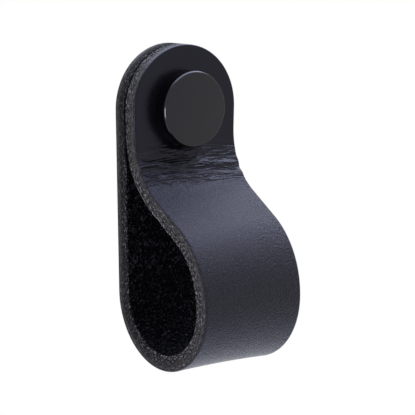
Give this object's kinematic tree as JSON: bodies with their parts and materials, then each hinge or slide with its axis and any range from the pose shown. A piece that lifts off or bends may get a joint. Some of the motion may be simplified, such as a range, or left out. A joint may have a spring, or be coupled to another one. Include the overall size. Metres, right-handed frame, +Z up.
{
  "type": "leather loop cabinet pull",
  "caption": "Folded leather strap pull with round ends under a flat metal knob, fixed from behind by a machine screw.",
  "frame": {"origin": "centre of the fixing hole on the back face, which lies on the door or drawer front", "axes": "+Y out of the back face into the door, +Z up along the strap towards its round ends, +X across the strap, to the right as seen from the front"},
  "size_m": [0.03, 0.0449, 0.0746],
  "materials": {
    "leather": "smooth black grain with a soft sheen, bare fibrous cut edges and a rough flesh side",
    "black_metal": "satin black",
    "screw_steel": "bright zinc plated"
  },
  "bodies": {
    "root": {"strap": "leather", "knob": "black_metal", "fixing_screw": "screw_steel"}
  },
  "joints": []
}
